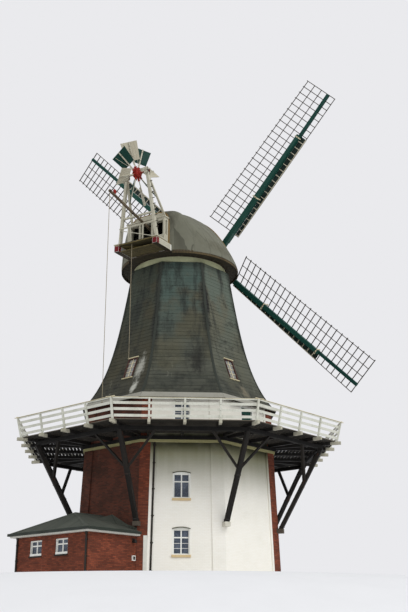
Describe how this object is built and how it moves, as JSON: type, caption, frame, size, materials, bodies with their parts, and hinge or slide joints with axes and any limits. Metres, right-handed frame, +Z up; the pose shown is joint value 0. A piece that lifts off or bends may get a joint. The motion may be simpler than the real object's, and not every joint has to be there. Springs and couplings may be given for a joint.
{
  "type": "traditional windmill",
  "caption": "Smock windmill on an octagonal brick base, with a gallery, a turning cap, lattice sails, a fantail and a low brick annex.",
  "frame": {"origin": "centre of the octagonal base, on its underside at ground level", "axes": "+Z up, -Y out of the front face towards the viewer, +X to the viewer's right"},
  "size_m": [19.6373, 18.5232, 29.8315],
  "materials": {
    "lime_wash": "lime washed brick, weathered",
    "brick": "rough brick",
    "stone": "rough stone",
    "smock_felt": "matt, boarded",
    "cap_felt": "matt, boarded",
    "roof_felt": "matt roofing felt",
    "old_wood": "weathered",
    "dark_wood": "tarred",
    "white_paint": "painted",
    "cream_paint": "painted",
    "green_paint": "painted",
    "red_paint": "painted",
    "red_iron": "painted",
    "iron": "matt",
    "pipe": "satin",
    "rope": "twisted",
    "glass": "clear"
  },
  "bodies": {
    "tower": {"wall_front": "lime_wash", "wall_front_right": "lime_wash", "wall_right": "brick", "wall_back_right": "brick", "wall_back": "brick", "wall_back_left": "brick", "wall_left": "brick", "wall_front_left": "brick", "smock_shell": "smock_felt", "smock_window_panels": "smock_felt", "ground_floor": "stone", "upper_floors": "old_wood", "window_frames": "white_paint", "window_glass": "glass", "window_sills": "stone", "gallery_door": "green_paint", "entrance_door": "green_paint", "gallery_joists": "dark_wood", "gallery_beams": "dark_wood", "gallery_deck": "old_wood", "gallery_struts": "dark_wood", "gallery_railing": "white_paint", "foot_stones": "stone", "downpipes": "pipe", "curb": "cream_paint", "annex_walls": "brick", "annex_roof": "roof_felt", "annex_fascia": "white_paint"},
    "cap": {"cap_ring": "dark_wood", "cap_roof": "cap_felt", "front_gable": "dark_wood", "rear_porch": "white_paint", "stage_beams": "white_paint", "stage_floor": "old_wood", "cap_beams": "old_wood", "brake_pole": "white_paint", "brake_rope": "rope", "hoist_rope": "rope", "fan_frame": "white_paint"},
    "sails": {"windshaft": "iron", "stock_outer": "green_paint", "stock_inner": "green_paint", "sail_lattice_1": "dark_wood", "sail_lattice_2": "dark_wood", "sail_lattice_3": "dark_wood", "sail_lattice_4": "dark_wood", "leading_boards": "green_paint"},
    "fan": {"fan_hub": "red_iron", "fan_spars": "white_paint", "fan_blades_white": "white_paint", "fan_blades_green": "green_paint"}
  },
  "joints": [
    {"name": "cap_turn", "type": "hinge", "parent": "tower", "child": "cap", "pos_m": [0, 0, 17.9], "axis": [0, 0, 1], "continuous": true},
    {"name": "sails_turn", "type": "hinge", "parent": "cap", "child": "sails", "pos_m": [2.22949, 3.18404, 20.047], "axis": [0.5635, 0.8047, 0.1869], "continuous": true},
    {"name": "fan_turn", "type": "hinge", "parent": "cap", "child": "fan", "pos_m": [-2.62698, -3.75172, 22.5], "axis": [0.8191, -0.5736, 0], "continuous": true}
  ]
}
